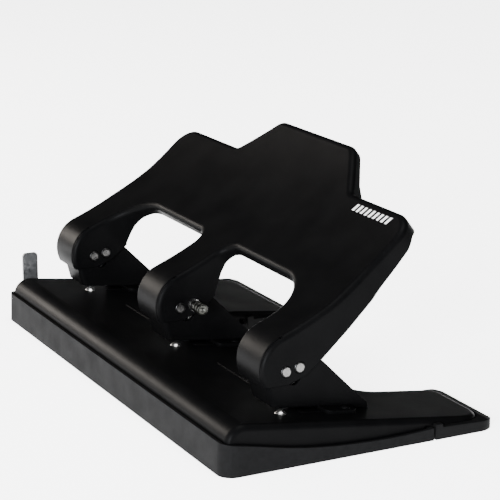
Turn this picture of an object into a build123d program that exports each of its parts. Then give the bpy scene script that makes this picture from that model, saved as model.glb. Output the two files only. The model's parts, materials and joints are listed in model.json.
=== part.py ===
from build123d import *
import math
import os

# Three-hole paper punch with a full-width pressed steel lever.
# Frame: X runs along the length, -Y is the side the paper goes in from, +Z is up.
# The origin is the middle of the footprint, on the surface the punch stands on. The row of
# heads sits towards the left end, and everything on it is laid out from the middle head.

# ---- driving dimensions (mm, degrees) ----
hole_pitch = 107.95              # 4.25 inch three-hole filing pitch
row_shift = -7.55                # middle head from the middle of the footprint
head_at = (-hole_pitch, 0.0, hole_pitch)
heads = dict(zip(("left", "middle", "right"), (x + row_shift for x in head_at)))

half_length = 132.05             # footprint, half of the length
front_y = -69.0                  # front face of the chip tray
rear_y = 69.0                    # back of the rear feet

sheet = 1.6                      # lever sheet thickness
plate_sheet = 1.5                # base plate sheet thickness
bracket_sheet = 2.0
tray_wall = 1.6
tray_floor = 2.0
tray_draft = 1.7                 # degrees, walls lean in towards the top

base_tilt = 7.5                  # top of the base falls towards the back
plate_front_y = -66.7
plate_rear_y = 64.4
plate_ridge_z = 22.8             # height of the base plate at its front edge
plate_side_gap = 2.6             # base plate to outside of the tray
plate_skirt = 3.4                # edge of the plate round the rear feet
skirt_foot_z = 3.0               # bottom of the plate's deep skirt, inside the tray
rim_radius = 3.0                 # edge of the base plate at its sides and back
front_roll = 8.2                 # and along its front
corner_radius = 7.0              # plan corners at the front of the tray
inner_corner = 3.4               # and inside its wall
leg_left = 76.0                  # width of the two legs
leg_right = 44.0
leg_outer_radius = 12.0
leg_inner_radius = 6.0
nook_radius = 12.0               # where a leg leaves the beam
beam_rear_y = 19.5               # back edge of the beam that carries the heads

pin_y = -29.5                    # fulcrum pin axis
pin_z = 36.2
pin_diameter = 5.2
drive_arm = 6.8                  # fulcrum pin to drive pin
drive_angle = 9.3                # of that arm above level, lever up
press_angle = 34.0               # lever travel
slot_overrun = 19.0              # the drive slot runs on past the end of the travel
fit = 0.06                       # radial clearance of every running fit

arm_half = 12.8                  # half width of a lever arm over its cheeks
nose_radius = 16.2
nose_offset = (3.9, 0.8)         # nose centre from the fulcrum pin
nose_end = 206.0                 # degrees, lower end of the nose arc
arm_slope = 21.0                 # of the lever where its arms leave the noses
lever_curve = 183.0              # radius of the lever's top, hollow side up
curve_end = 58.0                 # degrees, slope where that curve is given up behind the tab
tab_slope = 48.5                 # slope down to which the press tab's skirt keeps its depth
shoulder_slope = 46.6            # slope at the shoulders, whose skirt is deeper
plate_slope = 37.5               # mean slope, on which the lever's plan is drawn
plan_origin = (27.0, 30.6)       # origin of that plan, from the fulcrum pin
plate_half = hole_pitch + 9.5    # half width of the lever behind the arms
waist = (-7.0, 17.0)             # along the slope, where it narrows from the arms to that
waist_radius = 40.0
lever_rear_run = 48.9            # from the plan's origin to the shoulders
tab_run = 70.6                   # and to the end of the press tab
tab_shift = 3.0                  # middle of the tab, to the right of the middle head
tab_half = 36.2
notch_half = 58.7
shoulder_radius = 12.5
notch_radius = 6.0
tab_radius = 9.0
tab_skirt = 7.0
shoulder_skirt = 10.5
lever_edge = 2.6                 # rolled edge between the lever's top and skirts
cheek_line = [                   # lower edge of the outside cheeks, from the fulcrum pin
    (66.2, 51.4),
    (62.8, 46.2),
    (56.3, 38.8),
    (44.2, 26.0),
    (30.2, 14.5),
    (17.6, 3.2),
    (9.7, -3.1),
    (1.4, -6.1),
]
inner_line = [                   # lower edge of the cheeks inside the windows, from the same pin
    (18.6, 5.2),
    (20.4, 10.6),
    (22.0, 15.2),
    (24.4, 19.6),
    (28.0, 23.8),
    (33.0, 27.0),
]
window_rear = -1.9               # back edge of the finger windows, from the plan's origin
window_skirt = 6.0
window_far_radius = 25.0
window_near_radius = 8.5
seam_width = 0.36                # slit between the nose strip and its cheek

punch_diameter = 7.14            # 9/32 inch hole
throat = 1.4                     # paper gap under the head
bracket_half = 10.4
bracket_crown = 9.8              # radius of the bracket's top round the fulcrum pin
bracket_front = -5.6             # foot of the bracket's front wall, from the fulcrum pin
bracket_stop = 17.5              # where the cheeks reach the plate and stop the paper
bracket_end = 42.0               # back of the cheeks
bracket_fold = 2.4               # corner radius of the front wall
flange_end = 33.0
flange_reach = 8.0
flange_sheet = 1.8
foot_rivet_x = bracket_half + 4.4
foot_rivet_y = pin_y + 28.2
foot_shank = 1.5
die_thickness = 2.5
die_left = 11.8                  # die plate to each side of the punch
die_right = 18.0
die_front = pin_y - 9.5
die_rear = pin_y + 23.5
die_rivet_at = ((14.0, -3.4), (0.0, 20.0))      # across from the punch, along from the pin
die_shank = 1.3
guide_height = 4.6
guide_half = 6.5
spring_wire = 0.8
spring_turns = 4
punch_head = 6.0                 # top of the punch above the drive pin
pin_play = 0.12                  # drive pin in the punch's cross slot
lock_collar_r = 2.9
lock_out = 10.7                  # how far the lock pin stands out of the lever
lock_push = 4.0                  # how far it can be pushed in

bead_length = 52.0               # margin bead pressed into the plate beside each head
bead_y = pin_y + 4.2
bead_width = 1.4
bead_height = 0.9
rail_length = 11.0               # low bead in front of each bracket flange
rail_width = 3.0

tray_top_z = 14.9
tray_rear_y = 35.0
tray_inner_z = 4.0               # low wall of the tray behind the beam
foot_front_y = 36.0
foot_overlap = 1.5               # how far a foot stands out inside its leg

guide_y0 = -58.3
guide_y1 = -49.8
guide_out = 8.5                  # stands out of the left end at rest
guide_length = 100.0
guide_tab_z = 15.0
guide_sheet = 1.2
track_wall = 1.6
track_gap = 0.15

# ---- places worked out from them ----
tilt = math.tan(math.radians(base_tilt))
drive_y = pin_y + drive_arm * math.cos(math.radians(drive_angle))
drive_z = pin_z + drive_arm * math.sin(math.radians(drive_angle))
drive_low = math.radians(drive_angle - press_angle)
pin_r = pin_diameter / 2
punch_r = punch_diameter / 2
nose_y = pin_y + nose_offset[0]
nose_z = pin_z + nose_offset[1]
a_slope = math.radians(arm_slope)
b_slope = math.radians(plate_slope)
top_y = nose_y - nose_radius * math.sin(a_slope)
top_z = nose_z + nose_radius * math.cos(a_slope)
curve_y = top_y - lever_curve * math.sin(a_slope)
curve_z = top_z + lever_curve * math.cos(a_slope)
lever_plane = Plane(
    origin=(row_shift, pin_y + plan_origin[0], pin_z + plan_origin[1]),
    x_dir=(1, 0, 0),
    z_dir=(0, -math.sin(b_slope), math.cos(b_slope)),
)


leg_inside = (                   # inner edges of the legs
    leg_left - half_length + plate_side_gap,
    half_length - plate_side_gap - leg_right,
)


def plate_z(y):
    """Height of the top of the base plate."""
    return plate_ridge_z - (y - plate_front_y) * tilt


guide_top = plate_z(guide_y1) - plate_sheet - 0.6
guide_z0 = plate_z(drive_y - guide_half) + throat
guide_z1 = guide_z0 + guide_height
punch_tip = plate_z(drive_y) + throat + 0.1
punch_top = drive_z + punch_head
collar_z = drive_z - pin_r - 1.6
spring_r = punch_r + 0.45 + spring_wire / 2


def save(shape, name):
    os.makedirs("parts", exist_ok=True)
    shape.label = name
    export_step(shape, f"parts/{name}.step")


def side_prism(points, x0, x1):
    """Closed outline in the Y-Z plane, extruded from x0 to x1."""
    outline = make_face(Polyline(*points, close=True))
    return prism_of(outline, x0, x1)


def prism_of(outline, x0, x1):
    """Y-Z outline drawn in (x, y), stood up and extruded from x0 to x1."""
    plane = Plane(origin=(x0, 0, 0), x_dir=(0, 1, 0), z_dir=(1, 0, 0))
    return extrude(plane * outline, x1 - x0)


def box_between(x0, x1, y0, y1, z0, z1):
    size = (x1 - x0, y1 - y0, z1 - z0)
    middle = ((x0 + x1) / 2, (y0 + y1) / 2, (z0 + z1) / 2)
    return Pos(*middle) * Box(*size)


def x_rod(radius, x0, x1, y, z):
    plane = Plane(origin=(x0, y, z), x_dir=(0, 1, 0), z_dir=(1, 0, 0))
    return extrude(plane * Circle(radius), x1 - x0)


def z_rod(radius, z0, z1, x, y):
    return Pos(x, y, z0) * extrude(Circle(radius), z1 - z0)


def on_plate(x, y, rise=0.0):
    """Place on top of the base plate, square to its slope."""
    lift = rise * math.cos(math.radians(base_tilt))
    return Pos(x, y, plate_z(y)) * Rot(-base_tilt, 0, 0) * Pos(0, 0, lift)


def dome(radius, height, shank_radius, shank):
    """Rivet: low domed head above z = 0 and a shank below it."""
    ball = (radius ** 2 + height ** 2) / (2 * height)
    head = Pos(0, 0, height - ball) * Sphere(ball)
    keep = Pos(0, 0, height) * Box(4 * radius, 4 * radius, 2 * height)
    return (head & keep) + z_rod(shank_radius, -shank, 0, 0, 0)


# ---------------------------------------------------------------- lever
def under_lever(slope, depth):
    """Point of the side view under the top of the lever, where the top has the given slope."""
    angle = math.radians(slope)
    r = lever_curve + depth
    return (curve_y + r * math.sin(angle), curve_z - r * math.cos(angle))


def lever_profile(inset, drop):
    """Side outline of the lever, moved in from the top and nose by inset, and down by drop."""
    r = nose_radius - inset
    top = under_lever(arm_slope, inset)
    low_angle = math.radians(nose_end)
    low = (nose_y + r * math.cos(low_angle), nose_z + r * math.sin(low_angle))
    mid_angle = math.radians((nose_end + 90 + arm_slope) / 2)
    mid = (nose_y + r * math.cos(mid_angle), nose_z + r * math.sin(mid_angle))
    curve_mid = under_lever((arm_slope + curve_end) / 2, inset)
    end = under_lever(curve_end, inset)
    lower = [under_lever(curve_end, tab_skirt), under_lever(tab_slope, tab_skirt)]
    lower.append(under_lever(shoulder_slope, shoulder_skirt))
    lower += [(pin_y + y, pin_z + z) for y, z in cheek_line]
    lower.append(low)
    lower = [(y, z - drop) for y, z in lower]
    edge = [
        ThreePointArc(low, mid, top),
        ThreePointArc(top, curve_mid, end),
        Polyline(end, *lower),
    ]
    if drop:
        edge.append(Line(lower[-1], low))
    return make_face(Wire(Curve() + edge))


def lever_outline(inset):
    """Plan of the lever square to its slope: arms, rounded shoulders and press tab."""
    arm = hole_pitch + arm_half - inset
    side = plate_half - inset
    rear = lever_rear_run - inset
    tab = tab_run - inset
    front = -70.0
    slant = (notch_half - tab_half) / (tab_run - lever_rear_run)
    shift = inset * (math.hypot(1, slant) - slant)
    notch_at = [tab_shift + s * (notch_half - shift) for s in (-1, 1)]
    tab_at = [tab_shift + s * (tab_half - shift) for s in (-1, 1)]
    right = [(arm, front), (arm, waist[0]), (side, waist[1]), (side, rear)]
    left = [(-x, y) for x, y in reversed(right)]
    back = [(notch_at[1], rear), (tab_at[1], tab), (tab_at[0], tab), (notch_at[0], rear)]
    face = make_face(Polyline(*right, *back, *left, close=True))
    for y, radius in ((waist[0], waist_radius - inset), (waist[1], waist_radius + inset)):
        face = fillet([v for v in face.vertices() if abs(v.Y - y) < 0.1], radius)
    shoulders = [v for v in face.vertices() if abs(abs(v.X) - side) < 0.1 and abs(v.Y - rear) < 0.1]
    face = fillet(shoulders, shoulder_radius - inset)
    notches = [v for v in face.vertices() if min(abs(v.X - x) for x in notch_at) < 0.1]
    face = fillet(notches, notch_radius + inset)
    tabs = [v for v in face.vertices() if abs(v.Y - tab) < 0.1]
    return fillet(tabs, tab_radius - inset)


def window_outline(inset):
    """One finger window, on the +X side, open to the nose; grown by inset."""
    inner = arm_half - inset
    outer = hole_pitch - arm_half + inset
    rear = window_rear + inset
    corners = [(inner, -70), (outer, -70), (outer, rear), (inner, rear)]
    face = make_face(Polyline(*corners, close=True))
    far = [v for v in face.vertices() if v.X > hole_pitch / 2 and v.Y > -50]
    face = fillet(far, window_far_radius + inset)
    near = [v for v in face.vertices() if v.X < hole_pitch / 2 and v.Y > -50]
    return fillet(near, window_near_radius + inset)


def lever_solid(inset, drop):
    reach = hole_pitch + arm_half + 5
    body = prism_of(lever_profile(inset, drop), row_shift - reach, row_shift + reach)
    body = body & extrude(lever_plane * lever_outline(inset), 90, both=True)
    window = extrude(lever_plane * window_outline(inset), 90, both=True)
    middle = Plane(origin=(row_shift, 0, 0), z_dir=(1, 0, 0))
    return body - window - mirror(window, middle)


def top_edges(body):
    """Edges where the top of the lever turns down into its skirt."""
    found = []
    for edge in body.edges():
        box = edge.bounding_box()
        mid = edge @ 0.5
        off = math.hypot(mid.Y - curve_y, mid.Z - curve_z) - lever_curve
        across = abs(box.size.X - edge.length) < 0.01 and mid.Y < top_y + 1
        if abs(off) < 0.05 and box.min.Y > top_y - 1 and not across:
            found.append(edge)
    return found


def build_lever():
    outer = fillet(top_edges(lever_solid(0, 0)), lever_edge)
    lever = outer - lever_solid(sheet, 30)
    # The skirts inside the windows are short; the two outside cheeks stay deep.
    across = plate_half - sheet
    inner = [(pin_y + y, pin_z + z) for y, z in inner_line]
    inner.append(under_lever(plate_slope, window_skirt))
    trim = [*inner, (inner[-1][0], -40), (inner[0][0], -40)]
    lever -= side_prism(trim, row_shift - across, row_shift + across)
    for x in heads.values():
        for side in (-1, 1):
            seam = x + side * (arm_half - sheet)
            half = seam_width / 2
            cut = box_between(seam - half, seam + half, -90, top_y, 0, top_z + 2)
            hollow = x_rod(nose_radius - sheet - 0.4, seam - 1, seam + 1, nose_y, nose_z)
            lever -= cut - hollow
            lever -= x_rod(0.8, seam - 0.5, seam + 0.5, top_y, top_z - 0.4)
        lever -= x_rod(pin_r + fit, x - 20, x + 20, pin_y, pin_z)
        lever -= x_rod(pin_r + fit, x - 20, x + 20, drive_y, drive_z)
    return lever


# ---------------------------------------------------------------- heads
def bracket_profile():
    """Side outline of a bracket's cheek: crown, rear slope, foot, and the paper gap in front."""
    front_top = (pin_y - bracket_crown, pin_z)
    arc_mid = (
        pin_y - bracket_crown * math.sin(math.radians(45)),
        pin_z + bracket_crown * math.cos(math.radians(45)),
    )
    top = (pin_y, pin_z + bracket_crown)
    stop_y = pin_y + bracket_stop
    end_y = pin_y + bracket_end
    front_foot = (pin_y + bracket_front, plate_z(pin_y + bracket_front) + throat)
    lines = [
        Line(front_foot, front_top),
        ThreePointArc(front_top, arc_mid, top),
        Polyline(
            top,
            (pin_y + 10.6, pin_z + 10.4),
            (end_y, plate_z(end_y) + 2.6),
            (end_y + 0.6, plate_z(end_y + 0.6)),
            (stop_y, plate_z(stop_y)),
            (stop_y, plate_z(stop_y) + throat),
            front_foot,
        ),
    ]
    return make_face(Wire(Curve() + lines))


def drive_slot(x0, x1, radius):
    """Banana slot round the fulcrum pin, for the drive pin's swing and a little more."""
    steps = 16
    slot = None
    for i in range(steps + 1):
        angle = math.radians(drive_angle - (press_angle + slot_overrun) * i / steps)
        y = pin_y + drive_arm * math.cos(angle)
        z = pin_z + drive_arm * math.sin(angle)
        rod = x_rod(radius, x0, x1, y, z)
        slot = rod if slot is None else slot + rod
    return slot


def flange_sides(x):
    """Sides of a head on which the base plate has room for the bracket's foot."""
    room = half_length - plate_side_gap - 1.0
    return [side for side in (-1, 1) if abs(x + side * (bracket_half + flange_reach)) < room]


def bracket_flange(x, side):
    """Foot turned outwards from one cheek, riveted to the base plate."""
    x0, x1 = sorted((x + side * (bracket_half - bracket_sheet), x + side * (bracket_half + flange_reach)))
    y0, y1 = pin_y + bracket_stop, pin_y + flange_end
    foot = [
        (y0, plate_z(y0)),
        (y0, plate_z(y0) + flange_sheet),
        (y1, plate_z(y1) + flange_sheet),
        (y1, plate_z(y1)),
    ]
    flange = side_prism(foot, x0, x1)
    uprights = flange.edges().filter_by(Axis.Z, tolerance=5)
    corners = [e for e in uprights if abs(e.center().X - x) > bracket_half + 5]
    return fillet(corners, 3.0)


def build_bracket(x, name):
    inner_half = bracket_half - bracket_sheet
    outer = prism_of(bracket_profile(), x - bracket_half, x + bracket_half)
    front = [e for e in outer.edges() if e.center().Y < pin_y - 4 and e.bounding_box().size.X < 0.01]
    front = [e for e in front if e.geom_type == GeomType.LINE and e.length > 10]
    outer = fillet(front, bracket_fold)
    # Hollow behind the front wall, which leans forward from its foot to the crown.
    inside = box_between(x - inner_half, x + inner_half, pin_y - 40, pin_y + 60, 0, 80)
    wall_y = pin_y - bracket_crown + 1.1 * bracket_sheet
    foot_y = pin_y + bracket_front
    foot_z = plate_z(foot_y) + throat
    lean = (foot_y - pin_y + bracket_crown) / (pin_z - foot_z)
    wall = [
        (wall_y - 20 * lean, pin_z + 20),
        (wall_y, pin_z),
        (wall_y + (pin_z - foot_z + 12) * lean, foot_z - 12),
        (pin_y + 80, 0),
        (pin_y + 80, 80),
    ]
    bracket = outer - (inside & side_prism(wall, x - 20, x + 20))
    bracket -= box_between(x - inner_half, x + inner_half, pin_y - 20, pin_y + 3, pin_z + 2, pin_z + 14)
    for side in flange_sides(x):
        bracket += bracket_flange(x, side)
        bracket -= on_plate(x + side * foot_rivet_x, foot_rivet_y) * Cylinder(foot_shank, 12)
    bracket -= x_rod(pin_r + fit, x - 20, x + 20, pin_y, pin_z)
    bush_slot = lock_collar_r + 0.25
    bracket -= drive_slot(x, x + 20, bush_slot if name == "middle" else pin_r + track_gap)
    return bracket - drive_slot(x - 20, x, pin_r + track_gap)


def build_guide(x):
    """Block between the cheeks that the punch slides in."""
    inner = bracket_half - bracket_sheet
    block = box_between(x - inner, x + inner, drive_y - guide_half, drive_y + guide_half, guide_z0, guide_z1)
    block = chamfer(block.edges().filter_by(Axis.Z), 1.0)
    return block - z_rod(punch_r + fit, 0, 60, x, drive_y)


def build_punch(x):
    """Punch with a collar for its spring and a cross slot for the drive pin."""
    body = z_rod(punch_r, punch_tip, punch_top, x, drive_y)
    body = chamfer(body.faces().sort_by(Axis.Z)[-1].edges(), 0.6)
    body += z_rod(punch_r + 1.5, collar_z - 1.0, collar_z, x, drive_y)
    swing = drive_arm - drive_arm * math.cos(drive_low)
    slot_r = pin_r + pin_play
    y0, y1 = drive_y - swing - 0.1, drive_y + 0.2
    body -= box_between(x - 9, x + 9, y0, y1, drive_z - slot_r, drive_z + slot_r)
    for y in (y0, drive_y, y1):
        body -= x_rod(slot_r, x - 9, x + 9, y, drive_z)
    # The cutting end is ground to a shallow vee, so that its two points bite first.
    low = punch_tip - 1
    vee = [(drive_y - 3, low), (drive_y, punch_tip + 0.9), (drive_y + 3, low)]
    return body - side_prism(vee, x - 9, x + 9)


def build_spring(x):
    """Return spring: one helical coil of round wire between the guide and the punch's collar."""
    z0 = guide_z1 + spring_wire / 2
    z1 = collar_z - 1.0 - spring_wire / 2
    path = Helix(pitch=(z1 - z0) / spring_turns, height=z1 - z0, radius=spring_r)
    section = Plane(origin=path @ 0, z_dir=path % 0) * Circle(spring_wire / 2)
    return Pos(x, drive_y, z0) * sweep(section, path=path)


def build_die(x):
    """Hardened plate under the base plate, with the round hole the punch enters."""
    y0, y1 = die_front, die_rear
    low = plate_sheet + die_thickness
    points = [
        (y0, plate_z(y0) - plate_sheet),
        (y1, plate_z(y1) - plate_sheet),
        (y1, plate_z(y1) - low),
        (y0, plate_z(y0) - low),
    ]
    die = side_prism(points, x - die_left, x + die_right)
    die -= z_rod(punch_r + fit, 0, 60, x, drive_y)
    for across, along in die_rivet_at:
        die -= on_plate(x + across, pin_y + along) * Cylinder(die_shank, 20)
    return die


# ---------------------------------------------------------------- base
def base_outline(inset, rear, front_corner=0.0):
    """U-shaped plan: a front beam and two legs that run to the back."""
    side = half_length - inset
    front = front_y + inset
    grow = inset - plate_side_gap
    left, right = leg_inside[0] - grow, leg_inside[1] + grow
    beam = beam_rear_y - grow
    right_half = [(side, front), (side, rear), (right, rear), (right, beam)]
    left_half = [(left, beam), (left, rear), (-side, rear), (-side, front)]
    face = make_face(Polyline(*right_half, *left_half, close=True))
    if front_corner:
        face = fillet([v for v in face.vertices() if v.Y < front + 0.1], front_corner)
    rear_out = [v for v in face.vertices() if v.Y > rear - 0.1 and abs(v.X) > side - 0.1]
    face = fillet(rear_out, leg_outer_radius)
    rear_in = [v for v in face.vertices() if v.Y > rear - 0.1 and left - 0.1 < v.X < right + 0.1]
    face = fillet(rear_in, leg_inner_radius)
    nook = [v for v in face.vertices() if abs(v.Y - beam) < 0.1 and left - 0.1 < v.X < right + 0.1]
    return fillet(nook, nook_radius + grow)


def slope_wedge(drop, far_z):
    """Everything between the sloping top of the base, lowered by drop, and the height far_z."""
    y0, y1 = front_y - 5, rear_y + 5
    points = [(y0, plate_z(y0) - drop), (y1, plate_z(y1) - drop), (y1, far_z), (y0, far_z)]
    return side_prism(points, -half_length - 5, half_length + 5)


def under_plate(drop):
    return slope_wedge(drop, -60)


def above_plate(drop):
    return slope_wedge(drop, 90)


def tall(outline):
    """A plan outline stood up through the whole height of the base."""
    return Pos(0, 0, -20) * extrude(outline, 80)


def rolled_plan(inset):
    """Space under the outside of the base plate, or under its inside, with the rolled front."""
    front = front_y + plate_side_gap + inset
    back = rear_y + 5
    outline = make_face(
        Polyline(
            (front, -60),
            (front, plate_z(front) - inset),
            (back, plate_z(back) - inset),
            (back, -60),
            close=True,
        )
    )
    outline = fillet([v for v in outline.vertices() if v.X < front + 0.1 and v.Y > 0], front_roll - inset)
    under = prism_of(outline, -half_length - 5, half_length + 5)
    return tall(base_outline(plate_side_gap + inset, plate_rear_y - inset)) & under


def build_base_plate():
    block = rolled_plan(0.0)
    top = block.faces().filter_by(lambda f: f.normal_at().Z > 0.9).sort_by(SortBy.AREA)[-1]
    rim = [e for e in top.edges() if e.bounding_box().max.Y > front_y + 20]
    block = fillet(rim, rim_radius)
    hollow = rolled_plan(plate_sheet)
    # In front the edge reaches down inside the tray; round the rear feet it is short.
    in_tray = box_between(-half_length, half_length, front_y, tray_rear_y - tray_wall - 1.5, skirt_foot_z, 40)
    plate = (block - hollow) & (above_plate(plate_skirt) + in_tray)
    gap = 0.3
    low = guide_top - guide_sheet
    left = -half_length
    plate -= box_between(left, left + 10, guide_y0 - gap, guide_y1 + gap, low - gap, guide_top + gap)
    for x in heads.values():
        if x - bracket_half - bead_length > -half_length:
            bead = Box(bead_length, bead_width, bead_height)
            bead = on_plate(x - bracket_half - bead_length / 2, bead_y) * bead
            plate += chamfer(bead.faces().sort_by(Axis.Z)[-1].edges(), 0.3)
        plate -= z_rod(punch_r + 0.5, 0, 60, x, drive_y)
        for side in flange_sides(x):
            rail = Box(rail_width, rail_length, bead_height)
            rail_y = pin_y + bracket_stop - rail_length / 2
            rail = on_plate(x + side * (bracket_half + 2.5), rail_y) * rail
            plate += fillet(rail.faces().sort_by(Axis.Z)[-1].edges(), 0.4)
            plate -= on_plate(x + side * foot_rivet_x, foot_rivet_y) * Cylinder(foot_shank, 12)
        for across, along in die_rivet_at:
            plate -= on_plate(x + across, pin_y + along) * Cylinder(die_shank, 20)
    return plate


# ---------------------------------------------------------------- tray and feet
def tray_side():
    """Side outline of the chip tray: full height in front, dipping to a low side wall."""
    rim = [
        (front_y - 1, tray_top_z + 0.1),
        (front_y + 8.0, tray_top_z - 1.1),
        (front_y + 18.0, 11.8),
        (front_y + 31.0, 9.1),
        (front_y + 48.0, 6.6),
        (front_y + 66.0, 5.3),
        (front_y + 86.0, 4.9),
        (tray_rear_y + 1, 5.8),
    ]
    top = Spline(*rim)
    rest = Polyline(rim[-1], (tray_rear_y + 1, -1), (front_y - 1, -1), rim[0])
    return make_face(Wire([top.edge()] + rest.edges()))


def build_tray():
    reach = half_length + 5
    outer = extrude(base_outline(0.0, 90.0, corner_radius), 24, taper=tray_draft)
    outer = outer & box_between(-reach, reach, -100, tray_rear_y, -1, 30)
    outer = outer & prism_of(tray_side(), -reach, reach)
    inner = extrude(base_outline(tray_wall, 90.0, inner_corner), 24, taper=tray_draft)
    inner = Pos(0, 0, tray_floor) * inner
    inner = inner & box_between(-reach, reach, -100, tray_rear_y - tray_wall, -1, 30)
    # Inside the legs and behind the beam the wall stays low, under the base plate.
    x0, x1 = leg_inside[0] - 4.0, leg_inside[1] + 4.0
    low_wall = box_between(x0, x1, beam_rear_y - nook_radius - 4, 60, tray_inner_z, 40)
    return outer - inner - low_wall


def build_rear_foot(side):
    """Rubber foot under the end of one leg; side is -1 on the left and 1 on the right."""
    inside = leg_inside[(side + 1) // 2] - side * foot_overlap
    x0, x1 = sorted((inside, side * half_length))
    outline = [
        (foot_front_y, 0),
        (foot_front_y, 7.2),
        (foot_front_y + 3.2, 7.2),
        (foot_front_y + 3.8, 5.6),
        (rear_y - 4.5, 4.8),
        (rear_y - 1.0, 4.0),
        (rear_y, 3.0),
        (rear_y, 1.0),
        (rear_y - 1.0, 0),
    ]
    body = side_prism(outline, x0, x1)
    plan = make_face(Polyline((x0, 0), (x1, 0), (x1, rear_y), (x0, rear_y), close=True))
    outer_corner = [v for v in plan.vertices() if abs(v.X) > half_length - 1 and v.Y > 50]
    plan = fillet(outer_corner, 9.0)
    inner_corner = [v for v in plan.vertices() if abs(v.X - inside) < 0.1 and v.Y > 50]
    plan = fillet(inner_corner, 7.0)
    body = body & extrude(plan, 30)
    # The plate's rear edge stands in a groove, round a pad that carries the plate.
    groove = tall(base_outline(plate_side_gap - 0.05, plate_rear_y + 0.05)) & above_plate(plate_skirt)
    body -= groove & box_between(x0 - 5, x1 + 5, foot_front_y - 1, rear_y + 5, -1, 40)
    pad_inset = plate_sheet + 4.0
    pad = tall(base_outline(plate_side_gap + pad_inset, plate_rear_y - pad_inset)) & under_plate(plate_sheet)
    return body + (pad & box_between(x0, x1, foot_front_y, rear_y, 0, 40) & above_plate(plate_skirt + 1.0))


# ---------------------------------------------------------------- pins, rivets, lock
def build_pin(x, y, z, peened):
    reach = arm_half + 0.4
    pin = x_rod(pin_r, x - reach, x + reach, y, z)
    ends = [e for e in pin.edges() if e.geom_type == GeomType.CIRCLE]
    pin = chamfer(ends, 0.35)
    if peened:
        pin -= x_rod(0.7, x + reach - 0.3, x + reach + 1, y, z)
    return pin


def build_lock_pin(x):
    """Spool-ended pin of the middle head, which is pushed in to lock the lever down."""
    face = x + arm_half
    tip = face + lock_out
    pin = x_rod(pin_r, x - arm_half - 0.4 + lock_push, face + 1.0, drive_y, drive_z)
    pin += x_rod(2.1, face + 0.6, tip - 2.6, drive_y, drive_z)
    pin += x_rod(lock_collar_r - 0.1, tip - 3.6, tip, drive_y, drive_z)
    rim = [e for e in pin.edges() if e.center().X > tip - 0.1]
    return chamfer(rim, 0.4)


def build_lock_collar(x):
    """Bush pressed into the lever's cheek that the lock pin slides in."""
    x0 = x + arm_half + 0.02
    collar = x_rod(lock_collar_r, x0, x0 + 2.2, drive_y, drive_z)
    return collar - x_rod(pin_r + fit, x0 - 1, x0 + 5, drive_y, drive_z)


def build_die_rivets():
    shape = dome(2.7, 1.5, die_shank, plate_sheet + die_thickness)
    places = [on_plate(x + across, pin_y + along) for x in heads.values() for across, along in die_rivet_at]
    return Compound([place * shape for place in places])


def build_foot_rivets():
    shape = dome(2.3, 1.0, foot_shank, plate_sheet + flange_sheet)
    rivets = []
    for x in heads.values():
        for side in flange_sides(x):
            rivets.append(on_plate(x + side * foot_rivet_x, foot_rivet_y, flange_sheet) * shape)
    return Compound(rivets)


# ---------------------------------------------------------------- paper guide
def build_paper_guide():
    """Sliding paper stop: a flat bar under the base plate with its end turned up as a tab."""
    low = guide_top - guide_sheet
    end = -half_length - guide_out + 5.0
    flat = box_between(end, end + guide_length, guide_y0, guide_y1, low, guide_top)
    tab = box_between(end, end + guide_sheet, guide_y0, guide_y1, low, guide_top + guide_tab_z)
    tips = [e for e in tab.edges().filter_by(Axis.X) if e.center().Z > guide_top + 5]
    return flat + fillet(tips, 2.0)


def build_guide_track():
    """Channel under the base plate that the paper guide slides in."""
    x0, x1 = -half_length + 12.0, -half_length + 60.0
    y0, y1 = guide_y0 - track_wall, guide_y1 + track_wall
    slot_y0, slot_y1 = guide_y0 - track_gap, guide_y1 + track_gap
    low = guide_top - guide_sheet
    shell = box_between(x0, x1, y0, y1, low - 1.4, guide_top + track_gap + 0.2)
    slot = box_between(x0 - 1, x1 + 1, slot_y0, slot_y1, low - track_gap, guide_top + track_gap + 1)
    roof = box_between(x0, x1, y0, y1, guide_top, plate_ridge_z) & rolled_plan(plate_sheet)
    over_bar = box_between(x0 - 1, x1 + 1, slot_y0, slot_y1, 0, guide_top + track_gap)
    return (shell - slot) + (roof - over_bar)


if __name__ == "__main__":
    save(build_base_plate(), "base_plate")
    save(build_lever(), "handle")
    save(build_tray(), "chip_tray")
    save(build_rear_foot(1), "rear_foot_right")
    save(build_rear_foot(-1), "rear_foot_left")
    save(build_die_rivets(), "die_rivets")
    save(build_foot_rivets(), "foot_rivets")
    save(build_paper_guide(), "paper_guide")
    save(build_guide_track(), "guide_track")
    save(build_lock_pin(heads["middle"]), "lock_pin")
    save(build_lock_collar(heads["middle"]), "lock_collar")
    for name, x in heads.items():
        save(build_bracket(x, name), f"bracket_{name}")
        save(build_guide(x), f"punch_guide_{name}")
        save(build_punch(x), f"punch_{name}")
        save(build_spring(x), f"return_spring_{name}")
        save(build_die(x), f"die_plate_{name}")
        save(build_pin(x, pin_y, pin_z, name == "middle"), f"fulcrum_pin_{name}")
        if name != "middle":
            save(build_pin(x, drive_y, drive_z, False), f"drive_pin_{name}")
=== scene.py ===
import json
import math

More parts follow.
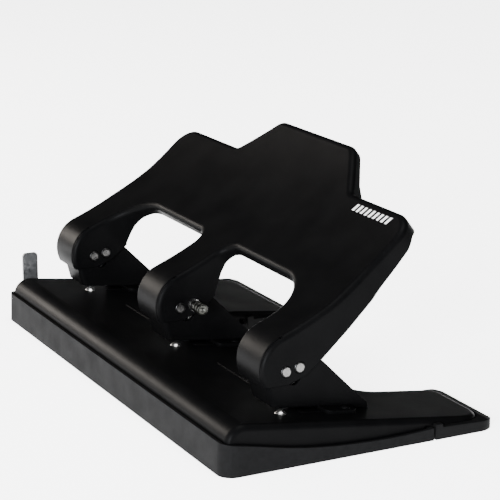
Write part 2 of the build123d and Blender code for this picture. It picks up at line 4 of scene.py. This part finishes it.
import bmesh
import bpy
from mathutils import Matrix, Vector


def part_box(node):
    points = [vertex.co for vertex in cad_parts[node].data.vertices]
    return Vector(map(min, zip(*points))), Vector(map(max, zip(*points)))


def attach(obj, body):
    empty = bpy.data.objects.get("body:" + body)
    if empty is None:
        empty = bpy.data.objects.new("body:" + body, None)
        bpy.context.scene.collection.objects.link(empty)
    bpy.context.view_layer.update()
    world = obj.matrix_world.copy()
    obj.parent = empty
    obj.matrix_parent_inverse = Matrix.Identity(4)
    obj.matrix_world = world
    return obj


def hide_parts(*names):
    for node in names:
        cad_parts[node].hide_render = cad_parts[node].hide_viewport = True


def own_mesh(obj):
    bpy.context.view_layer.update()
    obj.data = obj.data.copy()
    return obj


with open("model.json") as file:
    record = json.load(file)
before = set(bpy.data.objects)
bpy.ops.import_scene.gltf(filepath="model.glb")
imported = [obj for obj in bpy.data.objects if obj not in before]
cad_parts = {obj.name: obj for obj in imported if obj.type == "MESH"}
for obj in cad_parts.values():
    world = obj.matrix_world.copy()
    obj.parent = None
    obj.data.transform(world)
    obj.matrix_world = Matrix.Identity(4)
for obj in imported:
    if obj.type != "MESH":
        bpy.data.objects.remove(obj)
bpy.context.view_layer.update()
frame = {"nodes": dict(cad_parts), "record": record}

nodes = frame["nodes"]

# ---------------------------------------------------------------- camera, light, floor
CAMERA_TARGET = Vector((-0.01196, 0.01687, 0.05554))
CAMERA_AZIMUTH = math.radians(62.9229)
CAMERA_ELEVATION = math.radians(14.9172)
CAMERA_DISTANCE = 0.93349
LENS_MM = 134.99
SENSOR_MM = 36.0
WORLD_GLOW = 0.07
FLOOR_GLOW = 4.5
FLOOR_HALF = 3.0
SOFTBOX_AIM = Vector((0, 0, 0.04))
SOFTBOXES = (                        # name, place, size, watts, colour
    ("left", (-1.15, -0.58, 0.38), (0.5, 0.36), 16.0, (1.0, 0.93, 0.85)),
    ("front", (-0.05, -1.50, 0.60), (1.8, 1.0), 38.0, (1.0, 0.99, 0.97)),
    ("top", (0.15, 0.15, 1.50), (0.9, 0.9), 26.0, (1.0, 1.0, 1.0)),
    ("right", (1.00, -1.05, 0.32), (0.35, 0.5), 60.0, (0.92, 0.95, 1.0)),
)

# ---------------------------------------------------------------- sizes, in metres
PINS = (
    "fulcrum_pin_left",
    "fulcrum_pin_middle",
    "fulcrum_pin_right",
    "drive_pin_left",
    "drive_pin_right",
)
PIN_RADIUS = 0.0026
RING_PITCH = 0.00035                 # turning marks on the ends of the pins
LATHE_TURNS = 64                     # points round a turned piece

SPOOL_ROUNDING = 0.0003              # every corner of the lock pin
LOCK_SHOULDER = 0.0098               # distances back from the lock pin's tip
LOCK_COLLAR = (0.0084, 0.0060)
LOCK_HEAD = 0.0036
LOCK_GROOVE = (0.0026, 0.0024, 0.0021, 0.0019)
LOCK_DIMPLE = 0.0003

SPRING_WIRE = 0.0008
SPRING_CLOSED = 0.75                 # turns that lie flat at each end
SPRING_ACTIVE = 3.0                  # open turns between them
SPRING_STEPS = 40                    # rings of points in one turn
SPRING_SIDES = 12

LEVER_CURVE = 0.183                  # radius of the lever's top
LEVER_CENTRE = (-0.09699, 0.22297)   # middle of that curve, in Y and Z

PRINT_X = 0.0650                     # left end of the mark's row of bars
PRINT_SLOPE = 44.0                   # the lever's slope where the row stands, in degrees
PRINT_BARS = 9
PRINT_PITCH = 0.0036
PRINT_BAR = 0.0018                   # width of one bar
PRINT_LEAN = 0.0012                  # how far the top of a bar is set over
PRINT_TALL = 0.0038
PRINT_RISE = 0.00004                 # the ink's face over the paint
PRINT_SUNK = 0.0002                  # and its foot inside the sheet


def direction(azimuth, elevation):
    flat = math.cos(elevation)
    return Vector((math.sin(azimuth) * flat, -math.cos(azimuth) * flat, math.sin(elevation)))


def look_at(obj, target):
    obj.rotation_euler = (target - obj.location).to_track_quat("-Z", "Y").to_euler()


def add_camera():
    data = bpy.data.cameras.new("camera")
    data.lens = LENS_MM
    data.sensor_width = SENSOR_MM
    data.clip_start = 0.01
    camera = bpy.data.objects.new("camera", data)
    bpy.context.collection.objects.link(camera)
    camera.location = CAMERA_TARGET + CAMERA_DISTANCE * direction(CAMERA_AZIMUTH, CAMERA_ELEVATION)
    look_at(camera, CAMERA_TARGET)
    bpy.context.scene.camera = camera


def add_softbox(name, location, size, power, colour):
    data = bpy.data.lights.new(name, "AREA")
    data.shape = "RECTANGLE"
    data.size, data.size_y = size
    data.energy = power
    data.color = colour
    light = bpy.data.objects.new(name, data)
    bpy.context.collection.objects.link(light)
    light.location = Vector(location)
    look_at(light, SOFTBOX_AIM)


def add_world():
    world = bpy.data.worlds.new("studio")
    bpy.context.scene.world = world
    world.use_nodes = True
    background = world.node_tree.nodes["Background"]
    background.inputs["Color"].default_value = (1.0, 1.0, 1.0, 1.0)
    background.inputs["Strength"].default_value = WORLD_GLOW


def add_floor():
    half = FLOOR_HALF
    corners = [(-half, -half, 0.0), (half, -half, 0.0), (half, half, 0.0), (-half, half, 0.0)]
    mesh = bpy.data.meshes.new("floor")
    mesh.from_pydata(corners, [], [(0, 1, 2, 3)])
    floor = bpy.data.objects.new("floor", mesh)
    bpy.context.collection.objects.link(floor)
    material = bpy.data.materials.new("floor_white")
    material.use_nodes = True
    shader = material.node_tree.nodes["Principled BSDF"]
    shader.inputs["Base Color"].default_value = (0.86, 0.87, 0.88, 1.0)
    shader.inputs["Roughness"].default_value = 0.9
    shader.inputs["Specular IOR Level"].default_value = 0.0
    shader.inputs["Emission Color"].default_value = (1.0, 1.0, 1.0, 1.0)
    shader.inputs["Emission Strength"].default_value = FLOOR_GLOW
    mesh.materials.append(material)


# ---------------------------------------------------------------- materials
class Recipe:
    """A Principled material built from object-space noise, in a few short calls."""

    def __init__(self, name, roughness, metallic=0.0):
        self.material = bpy.data.materials.new(name)
        self.material.use_nodes = True
        self.tree = self.material.node_tree
        self.shader = self.tree.nodes["Principled BSDF"]
        self.shader.inputs["Metallic"].default_value = metallic
        self.shader.inputs["Roughness"].default_value = roughness
        self.coordinates = self.tree.nodes.new("ShaderNodeTexCoord").outputs["Object"]

    def link(self, a, b):
        self.tree.links.new(a, b)

    def noise(self, scale, detail=3.0, stretch=None):
        node = self.tree.nodes.new("ShaderNodeTexNoise")
        node.inputs["Scale"].default_value = scale
        node.inputs["Detail"].default_value = detail
        source = self.coordinates
        if stretch:
            mapping = self.tree.nodes.new("ShaderNodeMapping")
            mapping.inputs["Scale"].default_value = stretch
            self.link(source, mapping.inputs["Vector"])
            source = mapping.outputs["Vector"]
        self.link(source, node.inputs["Vector"])
        return node.outputs["Fac"]

    def ramp(self, value, low, high, start=0.35, end=0.65):
        """Colour from low to high as the value goes from start to end."""
        node = self.tree.nodes.new("ShaderNodeValToRGB")
        node.color_ramp.elements[0].position = start
        node.color_ramp.elements[1].position = end
        node.color_ramp.elements[0].color = (*low, 1.0)
        node.color_ramp.elements[1].color = (*high, 1.0)
        self.link(value, node.inputs["Fac"])
        return node.outputs["Color"]

    def span(self, value, low, high):
        """The middle of a noise's range, spread from low to high."""
        node = self.tree.nodes.new("ShaderNodeMapRange")
        node.inputs["From Min"].default_value = 0.3
        node.inputs["From Max"].default_value = 0.7
        node.inputs["To Min"].default_value = low
        node.inputs["To Max"].default_value = high
        self.link(value, node.inputs["Value"])
        return node.outputs["Result"]

    def bump(self, value, distance, strength=0.5):
        """One more layer of relief, over the layers before it."""
        node = self.tree.nodes.new("ShaderNodeBump")
        node.inputs["Strength"].default_value = strength
        node.inputs["Distance"].default_value = distance
        self.link(value, node.inputs["Height"])
        if self.shader.inputs["Normal"].is_linked:
            self.link(self.shader.inputs["Normal"].links[0].from_socket, node.inputs["Normal"])
        self.link(node.outputs["Normal"], self.shader.inputs["Normal"])

    def soft_corners(self, radius):
        """Round every sharp edge a little in the shading, as a coat of paint does."""
        node = self.tree.nodes.new("ShaderNodeBevel")
        node.samples = 6
        node.inputs["Radius"].default_value = radius
        self.link(node.outputs["Normal"], self.shader.inputs["Normal"])

    def calculate(self, operation, value, number=0.0):
        node = self.tree.nodes.new("ShaderNodeMath")
        node.operation = operation
        self.link(value, node.inputs[0])
        node.inputs[1].default_value = number
        return node.outputs["Value"]

    def total(self, a, b):
        node = self.tree.nodes.new("ShaderNodeMath")
        self.link(a, node.inputs[0])
        self.link(b, node.inputs[1])
        return node.outputs["Value"]

    def distance_from_axis(self, y, z):
        """Distance from a line that runs along X, in metres."""
        split = self.tree.nodes.new("ShaderNodeSeparateXYZ")
        self.link(self.coordinates, split.inputs["Vector"])
        join = self.tree.nodes.new("ShaderNodeCombineXYZ")
        self.link(self.calculate("SUBTRACT", split.outputs["Y"], y), join.inputs["Y"])
        self.link(self.calculate("SUBTRACT", split.outputs["Z"], z), join.inputs["Z"])
        length = self.tree.nodes.new("ShaderNodeVectorMath")
        length.operation = "LENGTH"
        self.link(join.outputs["Vector"], length.inputs[0])
        return length.outputs["Value"]

    def colour(self, socket):
        self.link(socket, self.shader.inputs["Base Color"])

    def rough(self, socket):
        self.link(socket, self.shader.inputs["Roughness"])

    def shine(self, level):
        self.shader.inputs["Specular IOR Level"].default_value = level


def black_paint():
    """Satin black powder coat: slight orange peel, faint cloudiness in its gloss."""
    recipe = Recipe("black_paint", 0.38)
    recipe.colour(recipe.ramp(recipe.noise(60.0, 4.0), (0.0012, 0.0012, 0.0013), (0.0018, 0.0018, 0.0019)))
    recipe.rough(recipe.span(recipe.noise(35.0, 5.0), 0.34, 0.42))
    recipe.soft_corners(0.0007)
    recipe.bump(recipe.noise(900.0, 2.0), 0.00010, 0.22)
    recipe.bump(recipe.noise(3800.0, 2.0), 0.00002)
    recipe.shine(0.017)
    return recipe.material


def tray_plastic():
    """Dark grey moulded plastic with a fine spark-eroded grain."""
    recipe = Recipe("tray_plastic", 0.55)
    recipe.colour(recipe.ramp(recipe.noise(520.0, 6.0), (0.0036, 0.0036, 0.0037), (0.0046, 0.0046, 0.0048)))
    recipe.rough(recipe.span(recipe.noise(120.0), 0.48, 0.60))
    recipe.soft_corners(0.0004)
    recipe.bump(recipe.noise(2600.0, 2.0), 0.00008, 0.4)
    recipe.bump(recipe.noise(45.0, 2.0), 0.0002, 0.15)
    recipe.shine(0.015)
    return recipe.material


def rubber():
    """Dull black rubber with a coarse grain."""
    recipe = Recipe("rubber", 0.6)
    recipe.colour(recipe.ramp(recipe.noise(90.0, 5.0), (0.0022, 0.0022, 0.0023), (0.0035, 0.0035, 0.0036)))
    recipe.rough(recipe.span(recipe.noise(200.0, 4.0), 0.5, 0.68))
    recipe.soft_corners(0.0006)
    recipe.bump(recipe.noise(1800.0), 0.0001, 0.4)
    recipe.shine(0.025)
    return recipe.material


def steel(name, dark, light, roughness, stretch=None):
    """Bare steel, with its grain drawn out where a stretch is given."""
    recipe = Recipe(name, roughness, metallic=1.0)
    recipe.colour(recipe.ramp(recipe.noise(260.0, 5.0, stretch), dark, light))
    recipe.rough(recipe.span(recipe.noise(700.0, 4.0, stretch), roughness - 0.07, roughness + 0.08))
    recipe.bump(recipe.noise(1500.0, 3.0, stretch), 0.00005)
    return recipe.material


def turned_steel(name, y, z, radius, dark, light):
    """Steel turned about a line along X: fine rings on its faces, darker towards the rim."""
    recipe = Recipe(name, 0.3, metallic=1.0)
    away = recipe.distance_from_axis(y, z)
    share = recipe.calculate("MULTIPLY", away, 1.0 / radius)
    cloud = recipe.calculate("MULTIPLY", recipe.noise(700.0, 4.0), 0.5)
    recipe.colour(recipe.ramp(recipe.total(share, cloud), light, dark, 0.95, 1.25))
    recipe.rough(recipe.span(recipe.noise(1200.0, 4.0), 0.24, 0.42))
    rings = recipe.calculate("SINE", recipe.calculate("MULTIPLY", away, 2 * math.pi / RING_PITCH))
    recipe.bump(rings, 0.00002)
    recipe.bump(recipe.noise(900.0), 0.00008)
    return recipe.material


def white_print():
    """Screen-printed white ink, a little worn."""
    recipe = Recipe("white_print", 0.5)
    recipe.colour(recipe.ramp(recipe.noise(1600.0, 4.0), (0.35, 0.35, 0.35), (0.62, 0.62, 0.61), 0.2, 0.5))
    recipe.rough(recipe.span(recipe.noise(500.0), 0.45, 0.6))
    recipe.bump(recipe.noise(2500.0, 2.0), 0.00002, 0.4)
    return recipe.material


MATERIALS = {
    "black_paint": black_paint(),
    "tray_plastic": tray_plastic(),
    "rubber": rubber(),
    "bright_steel": steel("bright_steel", (0.40, 0.40, 0.39), (0.60, 0.59, 0.58), 0.26),
    "tool_steel": steel("tool_steel", (0.30, 0.30, 0.31), (0.46, 0.46, 0.47), 0.32, (1, 1, 0.05)),
    "spring_steel": steel("spring_steel", (0.42, 0.42, 0.42), (0.58, 0.58, 0.58), 0.28),
    "zinc_plate": steel("zinc_plate", (0.20, 0.205, 0.21), (0.30, 0.305, 0.31), 0.42, (0.1, 1, 1)),
}


def corners_of(node):
    low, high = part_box(node)
    return Vector(low), Vector(high)


def dress_cad_nodes():
    """Give every CAD node the material of its slot, and the plain pins turned ends."""
    for part in frame["record"]["subparts"]:
        obj = nodes[part["node"]]
        obj.data.materials.clear()
        obj.data.materials.append(MATERIALS[part["material_slot"]])
    dark, light = (0.015, 0.015, 0.015), (0.12, 0.118, 0.116)
    for node in PINS:
        low, high = corners_of(node)
        at = (low + high) / 2
        nodes[node].data.materials[0] = turned_steel("turned_" + node, at.y, at.z, PIN_RADIUS, dark, light)


# ---------------------------------------------------------------- pieces
def new_object(name, mesh, material, body):
    obj = bpy.data.objects.new(name, mesh)
    bpy.context.collection.objects.link(obj)
    mesh.materials.append(material)
    for polygon in mesh.polygons:
        polygon.use_smooth = True
    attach(obj, body)
    return obj


def closed_mesh(name, verts, faces):
    """Mesh with its doubled points merged and every face turned outwards."""
    mesh = bpy.data.meshes.new(name)
    mesh.from_pydata(verts, [], faces)
    work = bmesh.new()
    work.from_mesh(mesh)
    bmesh.ops.remove_doubles(work, verts=work.verts, dist=1e-7)
    bmesh.ops.recalc_face_normals(work, faces=work.faces)
    work.to_mesh(mesh)
    work.free()
    return mesh


def lathe(name, outline, y, z):
    """Turned body about a line along X; outline is a chain of (x, radius) from axis to axis."""
    verts, faces, rings = [], [], []
    for x, radius in outline:
        if radius == 0.0:
            rings.append([len(verts)])
            verts.append((x, y, z))
            continue
        rings.append(range(len(verts), len(verts) + LATHE_TURNS))
        for k in range(LATHE_TURNS):
            angle = 2 * math.pi * k / LATHE_TURNS
            verts.append((x, y + radius * math.cos(angle), z + radius * math.sin(angle)))
    for a, b in zip(rings, rings[1:]):
        for k in range(LATHE_TURNS):
            n = (k + 1) % LATHE_TURNS
            if len(a) == 1:
                faces.append((a[0], b[n], b[k]))
            elif len(b) == 1:
                faces.append((a[k], a[n], b[0]))
            else:
                faces.append((a[k], a[n], b[n], b[k]))
    return closed_mesh(name, verts, faces)


def rounded(before, corner, after, size, steps=4):
    """Points of a small curve of the given size in place of a corner."""
    before, corner, after = Vector(before), Vector(corner), Vector(after)
    start = corner + (before - corner).normalized() * size
    end = corner + (after - corner).normalized() * size
    points = []
    for k in range(steps + 1):
        t = k / steps
        points.append(tuple((1 - t) ** 2 * start + 2 * t * (1 - t) * corner + t ** 2 * end))
    return points


def rounded_outline(corners, size):
    """The chain of corners with every inner corner rounded; its two ends stay on the axis."""
    chain = [corners[0]]
    for before, at, after in zip(corners, corners[1:], corners[2:]):
        reach = min((Vector(at) - Vector(before)).length, (Vector(after) - Vector(at)).length) * 0.45
        chain += rounded(before, at, after, min(size, reach))
    return chain + [corners[-1]]


def add_lock_pin():
    """The lock pin as turned: long shank, narrow necks, and a grooved spool end."""
    low, high = corners_of("lock_pin")
    at = (low + high) / 2
    tip, spool = high.x, (high.z - low.z) / 2
    neck, collar, groove, dimple = spool * 0.75, spool * 0.94, spool * 0.90, spool * 0.22
    corners = [
        (low.x, 0.0),
        (low.x, PIN_RADIUS),
        (tip - LOCK_SHOULDER, PIN_RADIUS),
        (tip - LOCK_SHOULDER, neck),
        (tip - LOCK_COLLAR[0], neck),
        (tip - LOCK_COLLAR[0], collar),
        (tip - LOCK_COLLAR[1], collar),
        (tip - LOCK_COLLAR[1], neck),
        (tip - LOCK_HEAD, neck),
        (tip - LOCK_HEAD, spool),
        (tip - LOCK_GROOVE[0], spool),
        (tip - LOCK_GROOVE[1], groove),
        (tip - LOCK_GROOVE[2], groove),
        (tip - LOCK_GROOVE[3], spool),
        (tip, spool),
        (tip, spool * 0.35),
        (tip - LOCK_DIMPLE, dimple),
        (tip - LOCK_DIMPLE, 0.0),
    ]
    mesh = lathe("lock_pin_turned", rounded_outline(corners, SPOOL_ROUNDING), at.y, at.z)
    dark, light = (0.03, 0.03, 0.027), (0.11, 0.11, 0.10)
    material = turned_steel("turned_lock_pin", at.y, at.z, spool, dark, light)
    obj = new_object("lock_pin_turned", mesh, material, "lock")
    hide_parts("lock_pin")


def add_spring(name):
    """Return spring as wound: open turns between two closed end turns."""
    low, high = corners_of("return_spring_" + name)
    at = (low + high) / 2
    wire = SPRING_WIRE / 2
    radius = (high.x - low.x) / 2 - wire
    height = high.z - low.z - 2 * wire
    turns = SPRING_ACTIVE + 2 * SPRING_CLOSED
    count = int(turns * SPRING_STEPS)
    end_rise = SPRING_WIRE * SPRING_CLOSED
    rings, verts, faces = [], [], []
    for k in range(count + 1):
        turn = turns * k / count
        open_share = min(max((turn - SPRING_CLOSED) / SPRING_ACTIVE, 0.0), 1.0)
        in_ends = min(turn, SPRING_CLOSED) - SPRING_CLOSED + max(turn - SPRING_CLOSED - SPRING_ACTIVE, 0.0)
        z = low.z + wire + end_rise + SPRING_WIRE * in_ends + open_share * (height - 2 * end_rise)
        angle = 2 * math.pi * turn
        out = Vector((math.cos(angle), math.sin(angle), 0.0))
        centre = Vector((at.x, at.y, z)) + out * radius
        rings.append(range(len(verts), len(verts) + SPRING_SIDES))
        for i in range(SPRING_SIDES):
            around = 2 * math.pi * i / SPRING_SIDES
            verts.append(centre + wire * (math.cos(around) * out + Vector((0, 0, math.sin(around)))))
    for a, b in zip(rings, rings[1:]):
        for i in range(SPRING_SIDES):
            n = (i + 1) % SPRING_SIDES
            faces.append((a[i], a[n], b[n], b[i]))
    faces.append(tuple(reversed(rings[0])))
    faces.append(tuple(rings[-1]))
    mesh = closed_mesh("coil_" + name, [tuple(v) for v in verts], faces)
    obj = new_object("coil_" + name, mesh, MATERIALS["spring_steel"], "base")
    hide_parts("return_spring_" + name)
    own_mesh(obj)


def lever_top(x, slope, rise):
    """Point over the curved top of the lever, where that top has the given slope."""
    angle = math.radians(slope)
    r = LEVER_CURVE - rise
    return (x, LEVER_CENTRE[0] + r * math.sin(angle), LEVER_CENTRE[1] - r * math.cos(angle))


def add_print():
    """Plain printed mark by the right shoulder: a row of slanted bars, thin as ink."""
    verts, faces = [], []
    degrees_a_metre = math.degrees(1.0 / LEVER_CURVE)
    for bar in range(PRINT_BARS):
        left = PRINT_X + bar * PRINT_PITCH
        corners = [
            (left, 0.0),
            (left + PRINT_BAR, 0.0),
            (left + PRINT_BAR + PRINT_LEAN, PRINT_TALL),
            (left + PRINT_LEAN, PRINT_TALL),
        ]
        base, n = len(verts), len(corners)
        for rise in (-PRINT_SUNK, PRINT_RISE):
            for x, up in corners:
                verts.append(lever_top(x, PRINT_SLOPE + up * degrees_a_metre, rise))
        faces.append(tuple(range(base + n, base + 2 * n)))
        faces.append(tuple(reversed(range(base, base + n))))
        for i in range(n):
            j = (i + 1) % n
            faces.append((base + i, base + j, base + n + j, base + n + i))
    mesh = closed_mesh("print", verts, faces)
    obj = new_object("print", mesh, white_print(), "lever")
    for polygon in obj.data.polygons:
        polygon.use_smooth = False


add_camera()
add_world()
for softbox in SOFTBOXES:
    add_softbox(*softbox)
add_floor()
dress_cad_nodes()
add_lock_pin()
for head in ("left", "middle", "right"):
    add_spring(head)
add_print()
